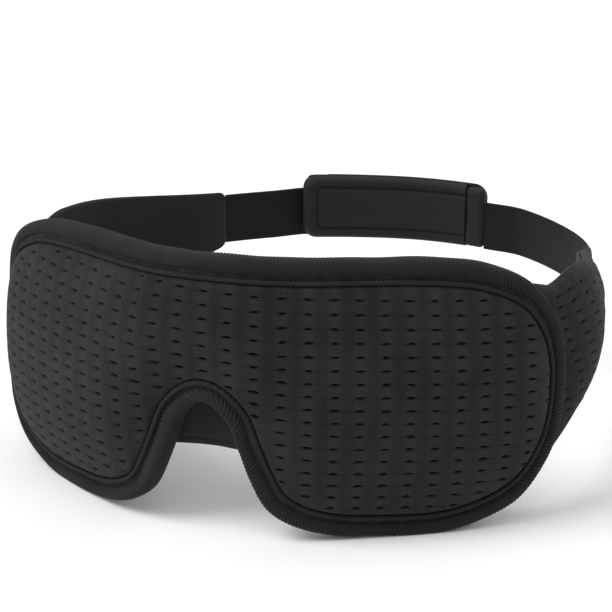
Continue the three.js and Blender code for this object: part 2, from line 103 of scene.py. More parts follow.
LINING_THICK = 0.9
LINING_CLING = 0.05
GAP = 0.3
NOSE_RELIEF_TOP = 66
NOSE_RELIEF_SLOPE = 0.42
NOSE_RELIEF_DEPTH = 4
EYE_CENTRE = (52, 43)
EYE_OUTLINE = [(-25, 5), (-17, 15), (-4, 19.5), (12, 19), (22.5, 12), (25, -1), (20, -13),
               (8, -19.5), (-8, -18), (-20, -8)]
EYE_RIM_DEPTH = 1.9
EYE_SEAM = 4.5
EYE_SEAM_DEPTH = 0.7
NOSE_CREASE_DEPTH = 0.6
CUP_WALL = 1
CUP_RECESS = 0.6
CUP_FLOOR = -4.4
CUP_SLOPE = 7
FLAP_HALF = 15
FLAP_EDGE_Z = 24
FLAP_FRONT = -7.2
FLAP_THICK = 1.6
FLAP_SAG = 4
FLAP_TUCK = 0.6
FLAP_ROLL = 0.8
FLAP_HEM = 2.2

# ---- wings, strap and pads ----
# these are the CAD's, apart from the wings' drop, crest and end, and the hook pad's trim
WING_START = 111.6
WING_HINGE = 113.05
WING_END = 204.3
WING_ROOT_Z = (19, 73.8)
WING_END_Z = (39.2, 59.4)
WING_DROP = 4.5
WING_DROP_LENGTH = 22
WING_CREST = 2
# how far from the mask the crest is reached and gone, and the length that it falls over
WING_CREST_LENGTHS = (34, 90, 56)
# how far each layer lies from the wing's middle: at its edge, on its outside and on its inside
WING_COVER_T = (-0.15, 2.2, 0.95)
WING_LINING_T = (-0.45, -2.3, -1.4)
WING_PADDING_T = -0.2
WING_PADDING_HALF = 0.85
WING_ROLL = 3.2
WING_SEAM = 3
WING_END_THICK = 0.5
WING_THIN_LENGTH = 28
WING_ROOT_T = -9.1
WING_RETURN = 47
WING_BULGE = 6.7
WING_BULGE_IN = 25
WING_BULGE_OUT = 30
WING_CORNER = 2.5
ROOT_INSET = 4.5
ROOT_TOP_INSET = 1.5
ROOT_TOP_START = 86
ROOT_TOP_TUCKED = 88
ROOT_TOP_FREE = 92
ROOT_FROM = 103
ELASTIC_Z = 49.4
ELASTIC_HEIGHT = 18
ELASTIC_THICK = 1.4
ELASTIC_RIB = 0.8
ELASTIC_PICK = 0.9
ELASTIC_BEND = 15
FLEX_LENGTH = 22
PAD_Z = 52
PAD_HEIGHT = 24
PAD_CORNER = 5
PAD_RIGHT_END = 268
PAD_LEFT_END = 340
HOOK_PAD_SHIFT = -3
HOOK_PAD_TRIM = 3.5
PAD_CAP = 7.5
PAD_WALL = 1.2
PAD_FILL = 0.6
LOOP_PAD_T = (-5.4, -0.9)
HOOK_PAD_T = (-0.6, 3.9)
RISES = (0.8, 5.3, 9.8, 10.3)
PATCH_THICK = 1.3
PATCH_FUZZ = 0.12
PAD_ROLL = 2.2
PAD_SEAM = 4.3
PAD_SEAM_DEPTH = 0.85
PAD_SEAM_WIDTH = 0.6
PAD_SWELL = 0.5
PAD_FILL_TOP = 2.7
PAD_END_DROP = 1.5

# ---- fabric detail ----
# the ribs slant across the tape, and its swells are two waves and a gather where the cord is sewn
TAPE_RIB = 2.4
TAPE_RIB_DEPTH = 0.55
TAPE_SLANT = 4
TAPE_WAVES = (60, 19)
TAPE_WAVE_HEIGHTS = (0.12, 0.05)
TAPE_GATHER = 3.1
TAPE_GATHER_DEPTH = 0.3
PIPING_STITCH = 1.25
PIPING_STITCH_DEPTH = 0.22
# columns of slits every pitch along s and rows every row down z: first is the height of the top
# row at the nose, tilt its climb per mm of s, lean how far a column drifts per mm down
MASK_SLITS = {"pitch": 7.28, "row": 3.82, "first": 85.34, "tilt": -0.047, "lean": 0.026}
WING_SLITS = {"pitch": 7.28, "row": 3.82, "first": 62, "tilt": 0.165, "lean": 0.43}
SLIT_HALF_LENGTH = 1.12
SLIT_HALF_HEIGHT = 0.32
SLIT_TILT = 0.16
# how much the hole, the cloth pulled round it, the thread between holes, the lip above a hole and
# the channel between columns move the knit, in mm
SLIT_RELIEF = {"opened": -1.2, "pulled": -0.2, "line": -0.1, "lip": 0.16, "channel": -0.05}
# how dark the painted shade is in a slit's hole, in the cloth pulled round it and along the thread
# between holes
SLIT_SHADE = {"opened": 1.15, "pulled": 0.2, "line": 0.42}
KNIT_SWELL = 0.2
KNIT_SWELL_LENGTH = 17


def smooth(x):
    x = np.clip(x, 0, 1)
    return x * x * (3 - 2 * x)


def mix(a, b, k):
    return a + (b - a) * k


def quarter(edge, radius):
    """1 on the flat, falling to 0 at the edge on a quarter circle."""
    return np.sqrt(1 - np.clip(1 - edge / radius, 0, 1) ** 2)


# ---- the bent strip ----
def closed_curve(stations, count):
    """Centripetal curve through closed stations, at evenly spaced points, and its length."""
    p = np.array(stations, float)
    dense = []
    for i in range(len(p)):
        a, b, c, d = (p[(i + k) % len(p)] for k in (-1, 0, 1, 2))
        ta, tb, tc = (math.sqrt(np.linalg.norm(v - u)) for u, v in ((a, b), (b, c), (c, d)))
        start = ((b - a) / ta - (c - a) / (ta + tb) + (c - b) / tb) * tb
        end = ((c - b) / tb - (d - b) / (tb + tc) + (d - c) / tc) * tb
        k = np.linspace(0, 1, SPAN_STEPS, endpoint=False)[:, None]
        h = 2 * k**3 - 3 * k**2
        dense.append(b * (h + 1) - c * h + start * (k**3 - 2 * k**2 + k) + end * (k**3 - k**2))
    dense = np.concatenate(dense + [dense[0][:1]])
    length = np.concatenate([[0], np.cumsum(np.linalg.norm(np.diff(dense, axis=0), axis=1))])
    at = np.arange(count) * length[-1] / count
    return np.stack([np.interp(at, length, dense[:, k]) for k in (0, 1)], -1), length[-1]


def unit_steps(loop):
    step = np.roll(loop, -1, 0) - np.roll(loop, 1, 0)
    return step / np.linalg.norm(step, axis=1)[:, None]


FACE_LEFT = [(-x, y) for x, y in reversed(FACE_STATIONS[1:])]
PLAN, LOOP_LENGTH = closed_curve(FACE_STATIONS + STRAP_STATIONS + FACE_LEFT, PLAN_STEPS)
PLAN_TABLE = np.concatenate([PLAN, unit_steps(PLAN)], 1)
PLAN_TABLE = np.concatenate([PLAN_TABLE, PLAN_TABLE[:1]])
PLAN_S = np.linspace(0, LOOP_LENGTH, PLAN_STEPS + 1)
RISE_AT = (0, WING_START, WING_END, PAD_RIGHT_END, PAD_LEFT_END, LOOP_LENGTH - WING_END,
           LOOP_LENGTH - WING_START, LOOP_LENGTH)
RISE = (0, 0, *RISES, 0, 0)


def plan_at(s):
    """x, y and the direction along the loop."""
    return [np.interp(np.mod(s, LOOP_LENGTH), PLAN_S, column) for column in PLAN_TABLE.T]


def centring_shift():
    """How far the CAD's centring moved the loop, found from a strap joint."""
    joint = next(j for j in frame["joints"] if j["name"] == "right_strap_flex")
    x, y, _, _ = plan_at(WING_END + GAP / 2)
    return joint["pos_m"][0] / MM - x, joint["pos_m"][1] / MM - y


SHIFT_X, SHIFT_Y = centring_shift()


def place(s, z, t):
    """Strip coordinates in millimetres to points in the row frame, in metres."""
    s, z, t = np.broadcast_arrays(*(np.asarray(v, float) for v in (s, z, t)))
    x, y, along_x, along_y = plan_at(s)
    lean = LEAN * (z - LEAN_HEIGHT) * np.clip(1 - y / LEAN_FADE, 0, 1)
    up = z + np.interp(np.mod(s, LOOP_LENGTH), RISE_AT, RISE)
    points = np.stack([x + t * along_y + SHIFT_X, y - t * along_x + lean + SHIFT_Y, up], -1)
    return points.reshape(-1, 3) * MM


# ---- curves on the strip ----
def inward(loop):
    """Unit vectors pointing into a loop that runs clockwise."""
    step = unit_steps(loop)
    return np.stack([step[:, 1], -step[:, 0]], -1)


EDGE_ALL = EDGE_STATIONS + [(-s, z) for s, z in reversed(EDGE_STATIONS[1:-1])]
EDGE, EDGE_LENGTH = closed_curve(EDGE_ALL, EDGE_STEPS)


def inset_loop(distance):
    return EDGE + inward(EDGE) * distance


def loop_distance(s, z, loop):
    """Distance from points to a closed loop of straight segments."""
    p = np.stack([np.ravel(s), np.ravel(z)], -1).astype(np.float32)
    a = loop.astype(np.float32)
    d = np.roll(a, -1, 0) - a
    size = (d * d).sum(1)
    best = np.empty(len(p), np.float32)
    for i in range(0, len(p), 8192):
        part = p[i:i + 8192, None, :] - a[None]
        k = np.clip((part * d).sum(-1) / size, 0, 1)
        best[i:i + 8192] = np.sqrt(((part - k[..., None] * d) ** 2).sum(-1).min(1))
    return best.reshape(np.shape(s)).astype(float)


def span_of(loop):
    """Lowest and highest z of a closed loop at each s."""
    a, b = loop, np.roll(loop, -1, 0)

    def span(s):
        s = np.asarray(s, float)[:, None]
        crosses = ((a[:, 0] - s) * (b[:, 0] - s) <= 0) & (a[:, 0] != b[:, 0])
        run = np.where(a[:, 0] == b[:, 0], 1, b[:, 0] - a[:, 0])
        z = a[:, 1] + (b[:, 1] - a[:, 1]) * (s - a[:, 0]) / run
        return np.where(crosses, z, np.inf).min(1), np.where(crosses, z, -np.inf).max(1)

    return span


# ---- mesh building ----
def mesh_object(name, points, faces, strip=None, **attributes):
    """faces is a list of integer arrays, one row per face."""
    me = bpy.data.meshes.new(name)
    me.vertices.add(len(points))
    me.vertices.foreach_set("co", np.asarray(points, np.float32).ravel())
    loops = np.concatenate([f.ravel() for f in faces])
    totals = np.concatenate([np.full(len(f), f.shape[1]) for f in faces])
    starts = np.concatenate([[0], np.cumsum(totals)[:-1]])
    me.loops.add(len(loops))
    me.loops.foreach_set("vertex_index", loops.astype(np.int32))
    me.polygons.add(len(totals))
    me.polygons.foreach_set("loop_start", starts.astype(np.int32))
    me.update(calc_edges=True)
    me.polygons.foreach_set("use_smooth", np.ones(len(totals), bool))
    if strip is not None:
        layer = me.uv_layers.new(name="strip")
        layer.data.foreach_set("uv", (np.asarray(strip)[loops] * STRIP_SCALE).astype(np.float32).ravel())
    for key, values in attributes.items():
        layer = me.attributes.new(key, "FLOAT", "POINT")
        layer.data.foreach_set("value", np.asarray(values, np.float32).ravel())
    obj = bpy.data.objects.new(name, me)
    bpy.context.scene.collection.objects.link(obj)
    return obj


def sheet_faces(n, m, start, flipped):
    """Quads of a sheet of n columns by m rows of points."""
    i, j = np.meshgrid(np.arange(n - 1), np.arange(m - 1), indexing="ij")
    a = (i * m + j).ravel() + start
    quads = np.stack([a, a + m, a + m + 1, a + 1], -1)
    return quads[:, ::-1] if flipped else quads


def slab(name, columns, span, front, back, rows, back_rows=None, shade=None, bend=None):
    """Closed thick sheet between two surfaces, with columns along s and rows up z.

    bend, if given, moves each column sideways by the share of its height.
    """
    back_rows = back_rows or rows
    n = len(columns)
    sheets = []
    for count, surface in ((rows, front), (back_rows, back)):
        k = np.linspace(0, 1, count + 1)
        s = np.repeat(columns[:, None], count + 1, 1)
        if bend is None:
            low, high = (v[:, None] for v in span(columns))
        else:
            s = bend(s, k)
            low, high = span(s)
        z = low + (high - low) * k
        t = surface(s, z) if callable(surface) else np.full(s.shape, float(surface))
        sheets.append((s, z, t))
    points = np.concatenate([place(*sheet) for sheet in sheets])
    strip = np.concatenate([np.stack([s.ravel(), z.ravel()], -1) for s, z, _ in sheets])
    a, b = rows + 1, back_rows + 1
    offset = n * a
    faces = [sheet_faces(n, a, 0, False), sheet_faces(n, b, offset, True)]
    i = np.arange(n - 1)
    faces.append(np.stack([(i + 1) * a, i * a, offset + i * b, offset + (i + 1) * b], -1))
    top_a, top_b = i * a + rows, offset + i * b + back_rows
    faces.append(np.stack([top_a, top_a + a, top_b + b, top_b], -1))
    start = np.concatenate([np.arange(a), offset + np.arange(b)[::-1]])
    end = np.concatenate([(n - 1) * a + np.arange(a)[::-1], offset + (n - 1) * b + np.arange(b)])
    faces += [start[None], end[None]]
    values = {}
    if shade is not None:
        s, z, _ = sheets[0]
        values["shade"] = np.concatenate([np.ravel(shade(s, z)), np.zeros(n * b)])
    return mesh_object(name, points, faces, strip, **values)


def columns_between(start, end, pitch, fine_start=0.0, fine_end=0.0):
    """Even columns, drawn together over the last few millimetres of a rounded end."""
    inner = [start + fine_start, end - fine_end]
    count = max(2, int(round((inner[1] - inner[0]) / pitch)))
    even = np.linspace(inner[0], inner[1], count + 1)
    k = np.linspace(0, 1, 16)[1:-1]
    parts = [even]
    if fine_start:
        near = np.concatenate([[0.004], k])
        parts.insert(0, start + fine_start * near**2)
    if fine_end:
        near = np.concatenate([[0.004], k])
        parts.append(end - fine_end * near[::-1] ** 2)
    return np.concatenate(parts)


def ring(name, steps, section, inset, width, front, back, power, relief):
    """Closed band that follows the mask's edge, with a rounded section and a surface relief."""
    loop, length = closed_curve(EDGE_ALL, steps)
    normal = inward(EDGE)
    at = np.arange(steps) * EDGE_STEPS / steps
    knots = np.arange(EDGE_STEPS + 1)
    normal = np.stack([np.interp(at, knots, np.append(v, v[0])) for v in normal.T], -1)
    normal /= np.linalg.norm(normal, axis=1)[:, None]
    angle = (np.arange(section) + 0.5) * 2 * math.pi / section
    shape = [np.sign(f(angle)) * np.abs(f(angle)) ** (2 / power) for f in (np.cos, np.sin)]
    u = np.arange(steps)[:, None] * length / steps
    extra = relief(u, angle[None])
    across = inset + (width / 2 + extra) * shape[0]
    t = (front + back) / 2 + ((front - back) / 2 + extra) * shape[1]
    s = loop[:, :1] + normal[:, :1] * across
    z = np.maximum(FLOOR_CLEARANCE, loop[:, 1:] + normal[:, 1:] * across)
    points = place(s, z, t)
    i, k = np.meshgrid(np.arange(steps), np.arange(section), indexing="ij")
    i, k = i.ravel(), k.ravel()
    n, up = (i + 1) % steps, (k + 1) % section
    quads = np.stack([i * section + k, n * section + k, n * section + up, i * section + up], -1)
    around = angle * (width - front + back + 2 * (front - back)) / (2 * math.pi)
    strip = np.stack([np.broadcast_to(v, s.shape).ravel() for v in (u, around)], -1)
    return mesh_object(name, points, [quads], strip)


# ---- relief of the fabrics ----
def hashed(a, b):
    """Repeatable random number from 0 to 1 for each pair of whole numbers."""
    v = np.sin(a * 12.9898 + b * 78.233) * 43758.5453
    return v - np.floor(v)


def ripple(s, z, scale):
    """Slow uneven swell of soft fabric, from -1 to 1."""
    a = np.sin(s / scale + 1.3 * np.sin(z / (1.7 * scale)))
    b = np.sin(z / (0.8 * scale) + 0.9 * np.sin(s / (1.3 * scale)) + 2)
    return 0.5 * (a + b)


def slit_frame(s, z, lattice):
    """Column, row and offset of the nearest slit."""
    along = s if lattice is MASK_SLITS else np.abs(s)
    pitch, row_pitch, lean = lattice["pitch"], lattice["row"], lattice["lean"]
    first = lattice["first"] + lattice["tilt"] * along
    column = np.round((along - lean * (lattice["first"] - z)) / pitch)
    row = np.round((first - z) / row_pitch)
    centre_z = first - row * row_pitch
    across = along - column * pitch - lean * (lattice["first"] - centre_z)
    return column, row, across, z - centre_z


def slit_shape(s, z, lattice):
    """Shares from 0 to 1 of each feature named in SLIT_RELIEF."""
    column, row, across, up = slit_frame(s, z, lattice)
    chance = hashed(column, row)
    up = up - (hashed(row, column) - 0.5) * SLIT_TILT * across
    length = SLIT_HALF_LENGTH * (0.82 + 0.4 * chance)
    height = SLIT_HALF_HEIGHT * (0.75 + 0.5 * hashed(column + 7, row))
    lens = (across / length) ** 2 + (up / height) ** 2
    return {
        "opened": np.exp(-lens**1.8),
        "pulled": np.exp(-((across / 2.1) ** 2) - (up / 0.95) ** 2),
        "line": np.exp(-((up / 0.2) ** 2)) * (1 - 0.75 * np.exp(-((across / 2.2) ** 2))),
        "lip": np.exp(-((across / 1.6) ** 2) - ((up - 0.7) / 0.38) ** 2),
        "channel": np.cos(2 * math.pi * across / lattice["pitch"]),
    }


def weighted(shares, weights):
    return sum(weight * shares[key] for key, weight in weights.items())


def knit_relief(s, z, fade, lattice):
    relief = weighted(slit_shape(s, z, lattice), SLIT_RELIEF)
    return relief * fade + KNIT_SWELL * ripple(s, z, KNIT_SWELL_LENGTH)


# painted shade in and round the slits, kept on the knit as its shade attribute
def slit_shade(s, z, fade, lattice):
    return np.clip(weighted(slit_shape(s, z, lattice), SLIT_SHADE), 0, 1) * fade


# ---- mask body ----
FLANGE_SPAN = span_of(inset_loop(FLANGE_INSET))
FLANGE_HALF = EDGE_HALF - FLANGE_INSET
LAYER_SPAN = span_of(inset_loop(LAYER_INSET))
COVER_HALF = EDGE_HALF - COVER_INSET
LAYER_HALF = EDGE_HALF - LAYER_INSET


def dome(s, z):
    inside = np.maximum(0, loop_distance(s, z, EDGE) - COVER_INSET)
    swell = DOME_HEIGHT * (1 - np.exp(-inside / DOME_RISE))
    return swell * (1 - NOSE_VALLEY * np.exp(-((s / NOSE_VALLEY_WIDTH) ** 2))), inside


def front_cover():
    """Knit over the dome, rolled under at the cord, with a flange that runs under the binding."""
    def slit_fade(inside):
        return smooth((inside - 0.7) / 0.8)

    def front(s, z):
        swell, inside = dome(s, z)
        rolled = COVER_ROLL * (1 - quarter(inside, 1.3))
        return swell + COVER_FRONT - rolled + knit_relief(s, z, slit_fade(inside), MASK_SLITS)

    def shade(s, z):
        inside = loop_distance(s, z, EDGE) - COVER_INSET
        return slit_shade(s, z, slit_fade(inside), MASK_SLITS)

    columns = columns_between(-FLANGE_HALF, FLANGE_HALF, 0.33, 5, 5)
    return slab("knit_front", columns, FLANGE_SPAN, front, COVER_BACK, rows=340,
                back_rows=1, shade=shade)


def edge_binding():
    ribs, *waves, gathers = (round(EDGE_LENGTH / v) for v in (TAPE_RIB, *TAPE_WAVES, TAPE_GATHER))

    def relief(u, angle):
        turn = 2 * math.pi * u / EDGE_LENGTH
        rib = np.cos(turn * ribs + TAPE_SLANT * angle)
        inner = 0.55 + 0.45 * smooth(np.cos(angle) + 0.4)
        swells = (np.sin(turn * waves[0] + 0.8 * np.sin(turn * 11)), np.sin(turn * waves[1]))
        soft = sum(height * swell for height, swell in zip(TAPE_WAVE_HEIGHTS, swells))
        gather = np.exp(-(((angle - 0.25) / 0.3) ** 2)) * (1 + 0.6 * np.cos(turn * gathers))
        return soft - TAPE_GATHER_DEPTH * gather - TAPE_RIB_DEPTH * inner * (1 - np.abs(rib)) ** 1.5

    return ring("bound_edge", 4800, 48, BINDING_WIDTH / 2, BINDING_WIDTH, BINDING_FRONT,
                BINDING_BACK, BINDING_POWER, relief)


def edge_piping():
    stitches = round(EDGE_LENGTH / PIPING_STITCH)

    def relief(u, angle):
        stitch = np.abs(np.cos(math.pi * u * stitches / EDGE_LENGTH + 0.5 * angle))
        return PIPING_STITCH_DEPTH * stitch - 0.1

    return ring("edge_cord", 4200, 14, PIPING_INSET, 2 * PIPING_RADIUS, PIPING_T + PIPING_RADIUS,
                PIPING_T - PIPING_RADIUS, 2, relief)


def layer_columns(half, pitch):
    return columns_between(-half, half, pitch, 4, 4)


def front_padding():
    columns = layer_columns(COVER_HALF - PADDING_INSET, LAYER_PITCH)
    return slab("front_foam", columns, span_of(inset_loop(COVER_INSET + PADDING_INSET)),
                lambda s, z: dome(s, z)[0] - PADDING_DROP, PADDING_BACK, 30)


def blackout_sheet():
    columns = layer_columns(LAYER_HALF, LAYER_PITCH)
    return slab("blackout_layer", columns, LAYER_SPAN, SHEET_T[1], SHEET_T[0], 24)


def foam_back(s, z):
    inside = np.maximum(0, loop_distance(s, z, EDGE) - LAYER_INSET)
    body = mix(FOAM_EDGE_BACK, FOAM_BACK, smooth(inside / FOAM_ROUNDING))
    reach = np.maximum(0, NOSE_RELIEF_TOP - z) * NOSE_RELIEF_SLOPE
    sunk = smooth((reach - np.abs(s)) / 6) * NOSE_RELIEF_DEPTH
    return np.minimum(FOAM_EDGE_BACK, body + sunk)


EYE_LOOP, _ = closed_curve(EYE_OUTLINE, 96)


def eye_signed(s, z):
    """Distance outside the nearer eye cavity's outline, negative inside it."""
    u, v = np.abs(s) - EYE_CENTRE[0], z - EYE_CENTRE[1]
    distance = loop_distance(u, v, EYE_LOOP)
    angle = np.arctan2(v, u)
    outline = np.arctan2(EYE_LOOP[:, 1], EYE_LOOP[:, 0])
    order = np.argsort(outline)
    radius = np.interp(angle, outline[order], np.hypot(*EYE_LOOP[order].T), period=2 * math.pi)
    return np.where(np.hypot(u, v) < radius, -distance, distance)


def eye_solid(name, side, profile):
    """Turned-bowl solid on the eye outline: profile is (grow in mm, or share of the radius, t)."""
    count = len(EYE_LOOP)
    size = np.hypot(*EYE_LOOP.T)[:, None]
    rings, strips = [], []
    for share, grow, t in profile:
        scaled = EYE_LOOP * (share * (size + grow) / size)
        s = side * (EYE_CENTRE[0] + scaled[:, 0])
        z = EYE_CENTRE[1] + scaled[:, 1]
        rings.append(place(s, z, t))
        strips.append(np.stack([s, z], -1))
    points, strip = np.concatenate(rings), np.concatenate(strips)
    n = len(profile)
    i, k = np.meshgrid(np.arange(n - 1), np.arange(count), indexing="ij")
    i, k = i.ravel(), k.ravel()
    up = (k + 1) % count
    quads = np.stack([i * count + k, i * count + up, (i + 1) * count + up, (i + 1) * count + k], -1)
    first, last = np.arange(count)[None, ::-1], (n - 1) * count + np.arange(count)[None]
    faces = [quads, first, last]
    if side < 0:
        faces = [f[:, ::-1] for f in faces]
    return mesh_object(name, points, faces, strip)


def cut_eyes(piece, grow):
    """Opens both eye cavities through a piece."""
    for side in (-1, 1):
        tool = eye_solid("tool", side, [(1, grow, FOAM_BACK - 9), (1, grow, FOAM_FRONT + 2)])
        cut = piece.modifiers.new("cut", "BOOLEAN")
        cut.operation = "DIFFERENCE"
        cut.solver = "EXACT"
        cut.object = tool
        apply_modifiers(piece)
        bpy.data.objects.remove(tool)
    return piece


def apply_modifiers(piece):
    graph = bpy.context.evaluated_depsgraph_get()
    mesh = bpy.data.meshes.new_from_object(piece.evaluated_get(graph), depsgraph=graph)
    piece.modifiers.clear()
    piece.data = mesh
    piece.data.name = piece.name


def face_foam():
    piece = slab("moulded_foam", layer_columns(LAYER_HALF, 2), LAYER_SPAN, FOAM_FRONT, foam_back, 40)
    return cut_eyes(piece, 0.2)


def face_lining():
    def skin(s, z):
        outside = eye_signed(s, z)
        rim = np.exp(-np.maximum(0, outside) / 1.5)
        ring_line = np.exp(-(((outside - EYE_SEAM) / 0.8) ** 2))
        reach = np.maximum(0, NOSE_RELIEF_TOP - z) * NOSE_RELIEF_SLOPE - np.abs(s)
        crease = np.exp(-(((reach - 1) / 0.9) ** 2)) * smooth((z - 30) / 8)
        pressed = EYE_RIM_DEPTH * rim + EYE_SEAM_DEPTH * ring_line + NOSE_CREASE_DEPTH * crease
        return foam_back(s, z) - GAP + pressed

    def back(s, z):
        inside = loop_distance(s, z, EDGE) - LAYER_INSET
        rolled = 0.8 * np.exp(-np.maximum(0, inside) / 0.8)
        return skin(s, z) - LINING_THICK + rolled + 0.15 * ripple(s, z, 9)

    columns = columns_between(-FLANGE_HALF, FLANGE_HALF, 0.7, 4, 4)
    piece = slab("face_cloth", columns, FLANGE_SPAN,
                 lambda s, z: foam_back(s, z) - GAP + LINING_CLING, back, 120)
    return cut_eyes(piece, 0)


def eye_cup(side, label):
    """Smooth bowl in an eye cavity, with a rounded lip just inside the lining."""
    rim = FOAM_BACK + CUP_RECESS
    inner = -GAP - CUP_WALL
    bowl = [(1, inner - CUP_SLOPE * (1 - math.cos(turn)), mix(rim + 0.5, CUP_FLOOR, math.sin(turn)))
            for turn in np.linspace(0, math.pi / 2, 14)]
    flat = [(share, inner - CUP_SLOPE, CUP_FLOOR) for share in (0.8, 0.55, 0.3, 0.06)]
    outside = [(share, -GAP, FOAM_FRONT) for share in (0.06, 0.5, 0.9)]
    wall = [(1, -GAP - 0.3, FOAM_FRONT), (1, -GAP, FOAM_FRONT - 0.4), (1, -GAP, -8),
            (1, -GAP, rim + 0.5)]
    lip = [(1, -GAP - 0.1, rim + 0.15), (1, -GAP - 0.5, rim), (1, -GAP - 0.85, rim + 0.15)]
    return eye_solid(label, side, outside + wall + lip + bowl + flat)


def nose_flap():
    """Thin padded flap that hangs behind the notch, with a rolled edge and a pressed hem."""
    top = span_of(inset_loop(BINDING_WIDTH - FLAP_TUCK))

    def span(s):
        return np.full(s.shape, float(FLAP_EDGE_Z)), np.maximum(top(s)[0], FLAP_EDGE_Z + 1)

    def shape(level, roll, hem, swell):
        def surface(s, z):
            sag = FLAP_SAG * np.maximum(0, 1 - (s / FLAP_HALF) ** 2)
            edge = np.minimum(z - FLAP_EDGE_Z, FLAP_HALF - np.abs(s))
            pressed = hem * np.exp(-(((edge - FLAP_HEM) / 0.35) ** 2))
            rolled = roll * (1 - quarter(edge, FLAP_ROLL))
            return level - sag - rolled + pressed + swell * ripple(s, z, 4)
        return surface

    columns = columns_between(-FLAP_HALF, FLAP_HALF, 0.4, 1, 1)
    return slab("nose_light_flap", columns, span, shape(FLAP_FRONT, 0.8, -0.35, 0.12),
                shape(FLAP_FRONT - FLAP_THICK, -0.75, 0.3, 0), 60)


# ---- side wings ----
TUCKED_AT = np.linspace(ROOT_TOP_START - 3, ROOT_TOP_FREE, 40)
TUCKED_TOP = (TUCKED_AT, span_of(inset_loop(ROOT_TOP_INSET))(TUCKED_AT)[1])


def wing_span(shrink=0.0):
    def span(s):
        along = np.abs(s) - WING_START
        k = along / (WING_END - WING_START)
        drop = WING_DROP * (1 - smooth(along / WING_DROP_LENGTH))
        rise, end, fall = WING_CREST_LENGTHS
        crest = WING_CREST * smooth(along / rise) * smooth((end - along) / fall)
        low = mix(WING_ROOT_Z[0], WING_END_Z[0], k) + shrink - drop
        high = mix(WING_ROOT_Z[1], WING_END_Z[1], k) - shrink - drop + crest
        tucked = np.interp(np.abs(s), *TUCKED_TOP) + np.maximum(0, np.abs(s) - ROOT_TOP_TUCKED)
        high = np.where(np.abs(s) < ROOT_TOP_FREE, np.minimum(high, tucked), high)
        left = np.clip(WING_CORNER - (WING_END - np.abs(s)), 0, WING_CORNER)
        corner = WING_CORNER - np.sqrt(WING_CORNER**2 - left**2)
        return low + corner, high - corner

    return span


def wing_middle(s, z):
    along = np.abs(s) - WING_START
    low, high = wing_span()(s)
    k = (2 * z - low - high) / (high - low)
    in_out = smooth(along / WING_BULGE_IN) * smooth((WING_END - np.abs(s)) / WING_BULGE_OUT)
    return WING_ROOT_T * (1 - smooth(along / WING_RETURN)) + WING_BULGE * (1 - k * k) * in_out


def wing_edge(s, z):
    """Distance in from the wing's long edges and its strap end."""
    low, high = wing_span()(s)
    return np.minimum(np.minimum(z - low, high - z), WING_END - np.abs(s))


def wing_layer(shape):
    """Surface whose distance from the wing's middle shrinks towards the webbing."""
    def surface(s, z):
        thinning = mix(WING_END_THICK, 1, smooth((WING_END - np.abs(s)) / WING_THIN_LENGTH))
        return wing_middle(s, z) + shape(s, z) * thinning
    return surface


def wing_inside(s, z, edge_t, inside_t):
    return mix(edge_t, inside_t, smooth((wing_edge(s, z) - 0.9) / 0.8))


def root_curve():
    """Where the wing starts at each share of its height: the binding's back, followed round."""
    loop = inset_loop(ROOT_INSET)
    reach = span_of(loop[:, ::-1])
    shares = np.linspace(0, 1, 61)
    start = np.full(shares.shape, float(WING_START))
    for _ in range(3):
        low, high = wing_span()(start)
        start = np.maximum(ROOT_TOP_START, reach(mix(low, high, shares))[1])
    return shares, start


ROOT_SHARES, ROOT_STARTS = root_curve()


def to_root(s, k):
    """Bends the columns near the mask to the line that the wing is sewn along."""
    start = np.interp(k, ROOT_SHARES, ROOT_STARTS)
    share = np.clip((np.abs(s) - ROOT_FROM) / (WING_HINGE - ROOT_FROM), 0, 1)
    bent = mix(start, WING_HINGE, share)
    return np.where(np.abs(s) < WING_HINGE, np.sign(s) * bent, s)


def wing_columns(side, pitch, start=ROOT_FROM, cut=0.0):
    ends = sorted((side * start, side * (WING_END - cut)))
    fine = (0, 2) if side > 0 else (2, 0)
    return columns_between(*ends, pitch, *fine)


def wing_cover(side, label):
    edge_t, crown_t, inside_t = WING_COVER_T

    def slit_fade(s, z):
        return smooth((wing_edge(s, z) - 2.6) / 1.2)

    def front(s, z):
        edge = wing_edge(s, z)
        stitch = 0.3 * np.exp(-(((edge - WING_SEAM) / 0.5) ** 2))
        relief = 0.9 * knit_relief(s, z, slit_fade(s, z), WING_SLITS)
        return mix(edge_t, crown_t, quarter(edge, WING_ROLL)) - stitch + relief

    def back(s, z):
        return wing_inside(s, z, edge_t, inside_t)

    def shade(s, z):
        return slit_shade(s, z, slit_fade(s, z), WING_SLITS)

    return slab(label, wing_columns(side, 0.38), wing_span(), wing_layer(front), wing_layer(back),
                rows=190, back_rows=60, shade=shade, bend=to_root)


def wing_lining(side, label):
    edge_t, crown_t, inside_t = WING_LINING_T

    def back(s, z):
        edge = wing_edge(s, z)
        stitch = 0.22 * np.exp(-(((edge - WING_SEAM) / 0.45) ** 2))
        return mix(edge_t, crown_t, quarter(edge, 1.7)) + stitch + 0.12 * ripple(s, z, 11)

    def front(s, z):
        return wing_inside(s, z, edge_t, inside_t)

    return slab(label, wing_columns(side, 0.6, WING_HINGE), wing_span(), wing_layer(front),
                wing_layer(back), rows=60, back_rows=90)


def wing_padding(side, label):
    def half(sign):
        def surface(s, z):
            return WING_PADDING_T + sign * WING_PADDING_HALF * quarter(wing_edge(s, z) - 1, 1.2)
        return wing_layer(surface)

    columns = wing_columns(side, 2.4, WING_START + 2, 1)
    return slab(label, columns, wing_span(1.0), half(1), half(-1), 24)


